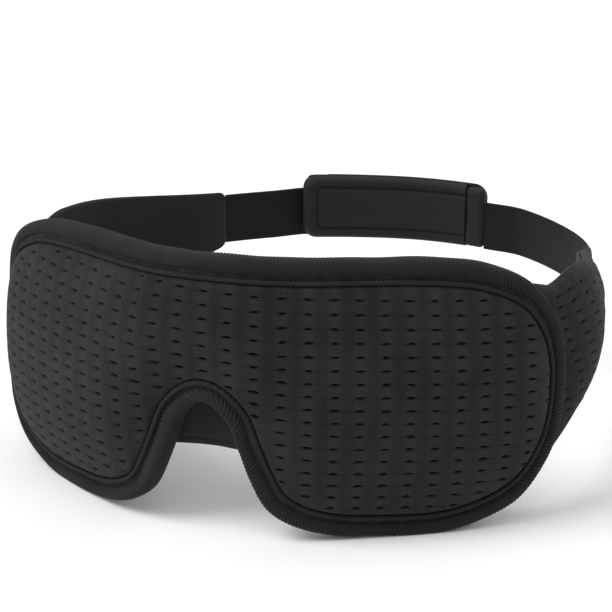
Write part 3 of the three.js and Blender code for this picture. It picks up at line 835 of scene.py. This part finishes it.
# ---- strap and closure ----
def elastic(label, start, end, pad_end, pad_t):
    """Webbing between a wing and a pad; its pad end bends over to the middle of the pad."""
    half = ELASTIC_HEIGHT / 2

    def shape(sign):
        def surface(s, z):
            edge = half - np.abs(z - ELASTIC_Z)
            rib = 0.03 * np.cos(2 * math.pi * (z - ELASTIC_Z) / ELASTIC_RIB)
            cross = 0.01 * np.cos(2 * math.pi * s / ELASTIC_PICK)
            wave = 0.1 * np.sin(s / 8) * np.sin((z - ELASTIC_Z) / 8)
            bent = sum(pad_t) / 2 * smooth(1 - np.abs(s - pad_end) / ELASTIC_BEND)
            skin = ELASTIC_THICK / 2 * quarter(edge, 0.7) * 0.98 + (rib + cross) * smooth(edge)
            return bent + sign * skin + wave
        return surface

    def span(s):
        return np.full(s.shape, ELASTIC_Z - half), np.full(s.shape, ELASTIC_Z + half)

    return slab(label, columns_between(start, end, 0.3), span, shape(1), shape(-1), 130)


def pad_outline(start, end, height, corner, round_start, round_end):
    def span(s):
        near = np.minimum(s - start if round_start else corner, end - s if round_end else corner)
        left = np.clip(corner - near, 0, corner)
        drop = corner - np.sqrt(np.maximum(0, corner**2 - left**2))
        return PAD_Z - height / 2 + drop, PAD_Z + height / 2 - drop
    return span


def pad_edge(s, z, start, end, height, corner, round_start, round_end):
    """Distance in from a pad's rounded-rectangle outline."""
    u = s - (start + end) / 2
    if round_start == round_end:
        u = np.abs(u)
    elif round_start:
        u = -u
    half_u, half_v = (end - start) / 2, height / 2
    v = np.abs(z - PAD_Z)
    qu, qv = u - (half_u - corner), v - (half_v - corner)
    outside = np.hypot(np.maximum(qu, 0), np.maximum(qv, 0))
    return corner - outside - np.minimum(np.maximum(qu, qv), 0)


def pad_cover(label, start, end, t, face, round_start, round_end):
    """Sewn pad: a cushioned face with a pressed border seam, and a flat side that takes the patch."""
    outline = (start, end, PAD_HEIGHT, PAD_CORNER, round_start, round_end)
    low, high = t
    mate, crown = (low, high) if face > 0 else (high, low)

    def cushion(s, z):
        edge = pad_edge(s, z, *outline)
        rolled = quarter(edge, PAD_ROLL)
        seam = PAD_SEAM_DEPTH * np.exp(-(((edge - PAD_SEAM) / PAD_SEAM_WIDTH) ** 2))
        swell = (PAD_SWELL + 0.1 * ripple(s, z, 9)) * smooth((edge - PAD_SEAM) / 4)
        return mix(mate, crown, 0.12 + 0.88 * rolled) + face * (swell - seam - PAD_SWELL)

    def mating(s, z):
        edge = pad_edge(s, z, *outline)
        recess = (PATCH_THICK + 0.15) * smooth((edge - PAD_WALL) / 0.5)
        return mate + face * (0.5 * (1 - quarter(edge, 1.0)) + recess)

    columns = columns_between(start, end, 0.35, 3 if round_start else 0, 3 if round_end else 0)
    span = pad_outline(*outline)
    outer, inner = (cushion, mating) if face > 0 else (mating, cushion)
    return slab(label, columns, span, outer, inner, 84)


def pad_block(label, start, end, t, height, corner, round_start, round_end, relief=0.0):
    outline = (start, end, height, corner, round_start, round_end)
    middle, half = (t[0] + t[1]) / 2, (t[1] - t[0]) / 2

    def shape(sign):
        def surface(s, z):
            edge = pad_edge(s, z, *outline)
            fuzz = relief * (hashed(np.round(s * 2.2), np.round(z * 2.2)) - 0.5)
            return middle + sign * (half * quarter(edge + 0.05, min(half, 1.2)) + fuzz)
        return surface

    columns = columns_between(start, end, 0.6, 2 if round_start else 0, 2 if round_end else 0)
    return slab(label, columns, pad_outline(*outline), shape(1), shape(-1), 44)


def pad_end(label, start, end, t):
    """Rolled end of the pad, sewn down over the webbing."""
    height = PAD_HEIGHT - PAD_END_DROP
    middle, half = (t[0] + t[1]) / 2, (t[1] - t[0]) / 2

    def shape(sign):
        def surface(s, z):
            across = 1 - np.abs(2 * (s - start) / (end - start) - 1)
            up = height / 2 - np.abs(z - PAD_Z)
            body = quarter(across * (end - start) / 2 + 0.05, 2.6) * quarter(up + 0.05, 2.4)
            crease = 0.25 * np.sin(z / 2.3) * np.exp(-((up / 5) ** 2))
            return middle + sign * (half * body) * (1 + 0.06 * crease)
        return surface

    def span(s):
        near = np.minimum(s - start, end - s)
        drop = 1.6 * (1 - quarter(near, 1.6))
        return PAD_Z - height / 2 + drop, PAD_Z + height / 2 - drop

    return slab(label, columns_between(start, end, 0.25, 1, 1), span, shape(1), shape(-1), 80)


# ---- materials ----
# pairs of (value of the pattern, grey that it has there)
KNIT_GREYS = ((0.36, 0.0035), (0.64, 0.018))
TAPE_GREYS = ((0.32, 0.004), (0.7, 0.014))
CLOTH_GREYS = ((0.3, 0.011), (0.75, 0.017))
SHEET_GREYS = ((0.3, 0.006), (0.75, 0.01))
WEBBING_GREYS = ((0.2, 0.0045), (0.8, 0.009))
FOAM_GREYS = ((0.1, 0.03), (0.5, 0.07))
LOOP_GREYS = ((0.05, 0.012), (0.5, 0.03))
HOOK_GREYS = ((0.05, 0.008), (0.5, 0.022))
# painted shade: the grey the knit turns to where the shade attribute marks the slits, the cloth pulled
# round them and the thread between them, and the darker painted shade grey deep in each slit's hole
KNIT_SHADE_GREY = 0.002
SLIT_HOLE_SHADE_GREY = 0.0006
# the size of the painted shade in a hole as a share of the slit's, and how far past that it reaches
SLIT_MASK_SHARE = 0.9
SLIT_MASK_EDGE = 1.4


class Nodes:
    """Small helper for one material's node tree."""

    def __init__(self, name, sheen, sheen_rough, specular):
        self.material = bpy.data.materials.new(name)
        self.material.use_nodes = True
        self.tree = self.material.node_tree
        self.shader = self.tree.nodes["Principled BSDF"]
        self.shader.inputs["Sheen Weight"].default_value = sheen
        self.shader.inputs["Sheen Roughness"].default_value = sheen_rough
        self.shader.inputs["Specular IOR Level"].default_value = specular
        self.strip = self.node("ShaderNodeUVMap", uv_map="strip").outputs["UV"]
        self.space = self.node("ShaderNodeTexCoord").outputs["Object"]

    def node(self, kind, **settings):
        made = self.tree.nodes.new(kind)
        for key, value in settings.items():
            setattr(made, key, value)
        return made

    def link(self, source, target):
        self.tree.links.new(source, target)

    def noise(self, vector, scale, detail=3.0):
        made = self.node("ShaderNodeTexNoise")
        made.inputs["Scale"].default_value = scale
        made.inputs["Detail"].default_value = detail
        self.link(vector, made.inputs["Vector"])
        return made.outputs["Fac"]

    def stretched(self, vector, scale):
        made = self.node("ShaderNodeMapping")
        made.inputs["Scale"].default_value = scale
        self.link(vector, made.inputs["Vector"])
        return made.outputs["Vector"]

    def wave(self, vector, scale, direction, distortion=0.0):
        made = self.node("ShaderNodeTexWave", wave_type="BANDS", bands_direction=direction)
        made.inputs["Scale"].default_value = scale
        made.inputs["Distortion"].default_value = distortion
        made.inputs["Detail Scale"].default_value = 2.0
        self.link(vector, made.inputs["Vector"])
        return made.outputs["Fac"]

    def cells(self, scale):
        made = self.node("ShaderNodeTexVoronoi")
        made.inputs["Scale"].default_value = scale
        self.link(self.space, made.inputs["Vector"])
        return made.outputs["Distance"]

    def greys(self, value, stops):
        """Base colour that runs between two greys, each with the value where it is reached."""
        made = self.node("ShaderNodeValToRGB")
        for element, (at, grey) in zip(made.color_ramp.elements, stops):
            element.position = at
            element.color = (grey, grey, grey, 1)
        self.link(value, made.inputs["Fac"])
        self.colour(made.outputs["Color"])
        return made.outputs["Color"]

    def math(self, operation, a, b=0):
        made = self.node("ShaderNodeMath", operation=operation)
        for socket, value in zip(made.inputs, (a, b)):
            if isinstance(value, (int, float)):
                socket.default_value = value
            else:
                self.link(value, socket)
        return made.outputs["Value"]

    def darken(self, factor, colour, grey):
        """Colour that turns to a grey as the factor goes from 0 to 1."""
        made = self.node("ShaderNodeMix", data_type="RGBA")
        self.link(factor, made.inputs[0])
        self.link(colour, made.inputs[6])
        made.inputs[7].default_value = (grey, grey, grey, 1)
        return made.outputs[2]

    def bump(self, height, strength, distance):
        made = self.node("ShaderNodeBump")
        made.inputs["Strength"].default_value = strength
        made.inputs["Distance"].default_value = distance
        self.link(height, made.inputs["Height"])
        self.link(made.outputs["Normal"], self.shader.inputs["Normal"])

    def roughness(self, value, low, high):
        made = self.node("ShaderNodeMapRange")
        made.inputs["To Min"].default_value = low
        made.inputs["To Max"].default_value = high
        self.link(value, made.inputs["Value"])
        self.link(made.outputs["Result"], self.shader.inputs["Roughness"])

    def colour(self, value):
        self.link(value, self.shader.inputs["Base Color"])


def slit_mask(n, lattice):
    """1 inside the slits, where their painted shade goes, and 0 between them, and a band that is 1 along
    the columns of slits.
    """
    parts = n.node("ShaderNodeSeparateXYZ")
    n.link(n.strip, parts.inputs["Vector"])
    along, z = (n.math("MULTIPLY", parts.outputs[axis], 1 / STRIP_SCALE) for axis in ("X", "Y"))
    if lattice is WING_SLITS:
        along = n.math("ABSOLUTE", along)
    first = n.math("ADD", n.math("MULTIPLY", along, lattice["tilt"]), lattice["first"])
    row = n.math("ROUND", n.math("DIVIDE", n.math("SUBTRACT", first, z), lattice["row"]))
    centre = n.math("SUBTRACT", first, n.math("MULTIPLY", row, lattice["row"]))
    drift = n.math("MULTIPLY", n.math("SUBTRACT", lattice["first"], z), lattice["lean"])
    at = n.math("DIVIDE", n.math("SUBTRACT", along, drift), lattice["pitch"])
    across = n.math("MULTIPLY", n.math("SUBTRACT", at, n.math("ROUND", at)), lattice["pitch"])
    up = n.math("SUBTRACT", z, centre)
    size = [n.math("POWER", n.math("ABSOLUTE", n.math("DIVIDE", v, half * SLIT_MASK_SHARE)), 2)
            for v, half in ((across, SLIT_HALF_LENGTH), (up, SLIT_HALF_HEIGHT))]
    inside = n.math("SUBTRACT", SLIT_MASK_EDGE, n.math("ADD", *size))
    band = n.math("COSINE", n.math("MULTIPLY", at, 2 * math.pi))
    return n.math("MINIMUM", n.math("MAXIMUM", inside), 1), band


def knit_material(name, lattice):
    n = Nodes(name, 0.05, 0.5, 0.25)
    patchy = n.noise(n.space, 60, 4)
    fine = n.noise(n.stretched(n.strip, (300, 120, 1)), 1.0, 3)
    wales = n.wave(n.strip, 62, "X", 1.5)
    courses = n.wave(n.strip, 78, "Y", 1.5)
    mixed = n.math("ADD", n.math("MULTIPLY", wales, courses), n.math("MULTIPLY", fine, 1.2))
    slits, band = slit_mask(n, lattice)
    tone = n.math("ADD", n.math("MULTIPLY", patchy, 0.4), n.math("MULTIPLY", fine, 0.6))
    base = n.greys(n.math("ADD", tone, n.math("MULTIPLY", band, 0.07)), KNIT_GREYS)
    # painted shade: the shade attribute darkens the knit in and round the slits and along the thread
    # between them, darkest inside the slit holes
    shade = n.node("ShaderNodeAttribute", attribute_name="shade").outputs["Fac"]
    pulled = n.darken(n.math("MULTIPLY", shade, 0.6), base, KNIT_SHADE_GREY)
    hole_shade = n.math("MULTIPLY", slits, n.math("MINIMUM", n.math("MULTIPLY", shade, 6), 1))
    n.colour(n.darken(hole_shade, pulled, SLIT_HOLE_SHADE_GREY))
    n.bump(mixed, 0.8, 0.00022)
    n.roughness(fine, 0.72, 0.95)
    return n.material


def tape_material():
    n = Nodes("ribbed_tape", 0.07, 0.45, 0.25)
    patchy = n.noise(n.space, 90, 4)
    fine = n.noise(n.stretched(n.strip, (300, 300, 1)), 1.0, 2)
    n.greys(n.math("ADD", n.math("MULTIPLY", patchy, 0.5), n.math("MULTIPLY", fine, 0.5)), TAPE_GREYS)
    n.bump(n.math("ADD", fine, n.wave(n.strip, 90, "X", 2)), 0.4, 0.00015)
    n.roughness(fine, 0.65, 0.92)
    return n.material


def cloth_material(name, greys):
    n = Nodes(name, 0.06, 0.4, 0.3)
    patchy = n.noise(n.space, 45, 5)
    fine = n.noise(n.stretched(n.strip, (280, 280, 1)), 1.0, 2)
    n.greys(n.math("ADD", n.math("MULTIPLY", patchy, 0.6), n.math("MULTIPLY", fine, 0.4)), greys)
    n.bump(fine, 0.3, 0.00012)
    n.roughness(patchy, 0.7, 0.88)
    return n.material


def webbing_material():
    n = Nodes("webbing", 0.05, 0.5, 0.25)
    ribs = n.wave(n.strip, 52, "Y", 1.0)
    picks = n.wave(n.strip, 80, "X", 1.0)
    fine = n.noise(n.space, 1500, 2)
    n.greys(n.math("ADD", n.math("MULTIPLY", ribs, 0.4), n.math("MULTIPLY", fine, 0.6)), WEBBING_GREYS)
    n.bump(n.math("ADD", n.math("MULTIPLY", ribs, picks), fine), 0.5, 0.0002)
    n.roughness(fine, 0.7, 0.9)
    return n.material


def foam_material():
    n = Nodes("foam", 0.0, 0.5, 0.2)
    cells, patchy = n.cells(900), n.noise(n.space, 70, 3)
    n.greys(n.math("MULTIPLY", patchy, cells), FOAM_GREYS)
    n.bump(cells, 0.6, 0.0004)
    n.roughness(patchy, 0.85, 1.0)
    return n.material


def fastener_material(name, scale, greys):
    n = Nodes(name, 0.15, 0.4, 0.35)
    cells, patchy = n.cells(scale), n.noise(n.space, 120, 3)
    n.greys(n.math("MULTIPLY", patchy, cells), greys)
    n.bump(cells, 0.8, 0.0005)
    n.roughness(patchy, 0.6, 0.85)
    return n.material


# ---- assembly ----
def finished(piece, material, slot, body, *nodes, fill=None):
    piece.data.materials.clear()
    piece.data.materials.append(material)
    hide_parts(*nodes)
    if body:
        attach(piece, body)
    return piece


def strip_point(s, z, t=0.0):
    return tuple(place(s, z, t)[0])


def build_body(knit, tape, cloth, foam, sheet_cloth):
    finished(front_cover(), knit, "perforated_knit", "mask", "front_cover", fill=0.6)
    finished(edge_binding(), tape, "ribbed_tape", "mask", "edge_binding")
    finished(edge_piping(), tape, "piping_cord", "mask", "edge_piping")
    finished(front_padding(), foam, "foam", "mask", "front_padding", fill=0.6)
    finished(blackout_sheet(), sheet_cloth, "blackout_cloth", "mask", "blackout_sheet")
    finished(face_foam(), foam, "foam", "mask", "face_foam", fill=0.7)
    finished(face_lining(), cloth, "smooth_cloth", "mask", "face_lining")
    for side, label in ((-1, "left"), (1, "right")):
        finished(eye_cup(side, f"{label}_eye_bowl"), cloth, "smooth_cloth", "mask", f"{label}_eye_cup")
    finished(nose_flap(), cloth, "smooth_cloth", "mask", "nose_flap", fill=0.3)


def build_wing(side, label, knit, cloth, foam):
    made = [
        finished(wing_cover(side, f"{label}_wing_knit"), knit, "perforated_knit", None,
                 f"{label}_wing_cover", f"{label}_wing_root", fill=0.4),
        finished(wing_padding(side, f"{label}_wing_foam"), foam, "foam", None,
                 f"{label}_wing_padding", fill=0.4),
        finished(wing_lining(side, f"{label}_wing_cloth"), cloth, "smooth_cloth", None,
                 f"{label}_wing_lining", fill=0.4),
    ]
    for piece in made:
        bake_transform(piece)


def build_strap(webbing):
    hook_end = PAD_LEFT_END + HOOK_PAD_SHIFT + GAP - LOOP_LENGTH
    for side, label, far, pad_t in ((-1, "left", hook_end, HOOK_PAD_T),
                                    (1, "right", PAD_RIGHT_END - GAP, LOOP_PAD_T)):
        start, end = sorted((side * (WING_END + GAP), far))
        piece = finished(elastic(f"{label}_webbing", start, end, far, pad_t), webbing,
                         "elastic_webbing", None, f"{label}_elastic")
        start, end = (strip_point(side * (WING_END + v), ELASTIC_Z) for v in (GAP, FLEX_LENGTH))
        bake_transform(piece)


def build_pad(label, cloth, foam, patch, t, face, cover_range, cap_range):
    start, end = cover_range
    round_start, round_end = cap_range[0] > end, cap_range[1] < start
    body = f"{label}_pad"
    finished(pad_cover(f"{label}_pad_cloth", start, end, t, face, round_start, round_end), cloth,
             "smooth_cloth", body, f"{label}_pad_cover", fill=PAD_FILL)
    inner = (start + PAD_WALL + GAP, end - PAD_WALL - GAP)
    height = PAD_HEIGHT - 2 * PAD_WALL - 2 * GAP
    corner = PAD_CORNER - PAD_WALL - GAP
    mate = t[0] if face > 0 else t[1]
    patch_t = sorted((mate, mate + face * PATCH_THICK))
    finished(pad_block(f"{label}_fastener", *inner, patch_t, height, corner, round_start, round_end,
                       PATCH_FUZZ), patch, f"{label}_tape", body, f"{label}_patch")
    foam_t = sorted((mate + face * (PATCH_THICK + GAP), mate + face * PAD_FILL_TOP))
    finished(pad_block(f"{label}_pad_filling", *inner, foam_t, height - 3, corner, round_start,
                       round_end), foam, "foam", body, f"{label}_pad_foam", fill=PAD_FILL)
    finished(pad_end(f"{label}_pad_rolled_end", *cap_range, t), cloth, "smooth_cloth", body,
             f"{label}_pad_end", fill=PAD_FILL)


def build_closure(cloth, foam):
    loops = fastener_material("loop_tape", 1400, LOOP_GREYS)
    hooks = fastener_material("hook_tape", 1000, HOOK_GREYS)
    build_pad("loop", cloth, foam, loops, LOOP_PAD_T, -1,
              (PAD_RIGHT_END + PAD_CAP + GAP, PAD_LEFT_END), (PAD_RIGHT_END, PAD_RIGHT_END + PAD_CAP))
    start, end = PAD_RIGHT_END + HOOK_PAD_SHIFT + HOOK_PAD_TRIM, PAD_LEFT_END + HOOK_PAD_SHIFT
    build_pad("hook", cloth, foam, hooks, HOOK_PAD_T, 1,
              (start, end - PAD_CAP - GAP), (end - PAD_CAP, end))


# ---- stage ----
# the target is measured from the nose, in mm, and the distance from the target, in m
CAMERA_TARGET = (-15.51, 125.08, 33.24)
CAMERA_DISTANCE = 0.5924
CAMERA_AZIMUTH = 20.73
CAMERA_ELEVATION = 16.75
CAMERA_ROLL = 0.35
CAMERA_LENS = 96.98
SENSOR_WIDTH = 36

AMBIENT = 0.72
# azimuth and elevation of where each light comes from, its strength, and how broad it is in degrees
LIGHTS = {"key": (-52, 50, 1.75, 35), "top": (10, 75, 0.35, 60)}
FLOOR_HALF = 4.0
FLOOR_GREY = 0.93


def direction(azimuth, elevation):
    """Unit vector towards a place given in degrees round and above the object."""
    a, e = math.radians(azimuth), math.radians(elevation)
    return Vector((math.sin(a) * math.cos(e), -math.cos(a) * math.cos(e), math.sin(e)))


def add_camera():
    data = bpy.data.cameras.new("camera")
    data.lens = CAMERA_LENS
    data.sensor_width = SENSOR_WIDTH
    camera = bpy.data.objects.new("camera", data)
    bpy.context.scene.collection.objects.link(camera)
    back = direction(CAMERA_AZIMUTH, CAMERA_ELEVATION)
    roll = Matrix.Rotation(math.radians(CAMERA_ROLL), 3, "Z")
    rotation = back.to_track_quat("Z", "Y").to_matrix() @ roll
    target = Vector(CAMERA_TARGET) * MM + Vector((SHIFT_X, SHIFT_Y, 0)) * MM
    camera.matrix_world = Matrix.Translation(target + back * CAMERA_DISTANCE) @ rotation.to_4x4()
    bpy.context.scene.camera = camera


def add_light(name, azimuth, elevation, strength, angle):
    """Broad distant light."""
    data = bpy.data.lights.new(name, "SUN")
    data.angle = math.radians(angle)
    data.energy = strength
    light = bpy.data.objects.new(name, data)
    bpy.context.scene.collection.objects.link(light)
    light.rotation_euler = direction(azimuth, elevation).to_track_quat("Z", "Y").to_euler()


def add_floor():
    points = np.array([(-1, -1, 0), (1, -1, 0), (1, 1, 0), (-1, 1, 0)]) * FLOOR_HALF
    floor = mesh_object("floor", points, [np.array([[0, 1, 2, 3]])])
    material = bpy.data.materials.new("floor")
    material.use_nodes = True
    shader = material.node_tree.nodes["Principled BSDF"]
    shader.inputs["Base Color"].default_value = (FLOOR_GREY, FLOOR_GREY, FLOOR_GREY, 1)
    shader.inputs["Roughness"].default_value = 0.9
    shader.inputs["Specular IOR Level"].default_value = 0.1
    floor.data.materials.append(material)


def add_world():
    """White backdrop that lights the object less than it shows."""
    world = bpy.data.worlds.new("studio")
    bpy.context.scene.world = world
    world.use_nodes = True
    nodes, links = world.node_tree.nodes, world.node_tree.links
    ambient = nodes["Background"]
    ambient.inputs["Color"].default_value = (1, 1, 1, 1)
    ambient.inputs["Strength"].default_value = AMBIENT
    backdrop = nodes.new("ShaderNodeBackground")
    backdrop.inputs["Color"].default_value = (1, 1, 1, 1)
    seen = nodes.new("ShaderNodeLightPath")
    mixed = nodes.new("ShaderNodeMixShader")
    links.new(seen.outputs["Is Camera Ray"], mixed.inputs["Fac"])
    links.new(ambient.outputs["Background"], mixed.inputs[1])
    links.new(backdrop.outputs["Background"], mixed.inputs[2])
    links.new(mixed.outputs["Shader"], nodes["World Output"].inputs["Surface"])


def add_studio():
    bpy.context.scene.view_settings.view_transform = "Standard"
    add_world()
    for name, settings in LIGHTS.items():
        add_light(name, *settings)
    add_floor()
    add_camera()


def main():
    knit, wing_knit = knit_material("knit", MASK_SLITS), knit_material("wing_knit", WING_SLITS)
    tape, cloth = tape_material(), cloth_material("smooth_cloth", CLOTH_GREYS)
    foam, webbing = foam_material(), webbing_material()
    build_body(knit, tape, cloth, foam, cloth_material("blackout_cloth", SHEET_GREYS))
    build_wing(-1, "left", wing_knit, cloth, foam)
    build_wing(1, "right", wing_knit, cloth, foam)
    build_strap(webbing)
    build_closure(cloth, foam)
    add_studio()


main()
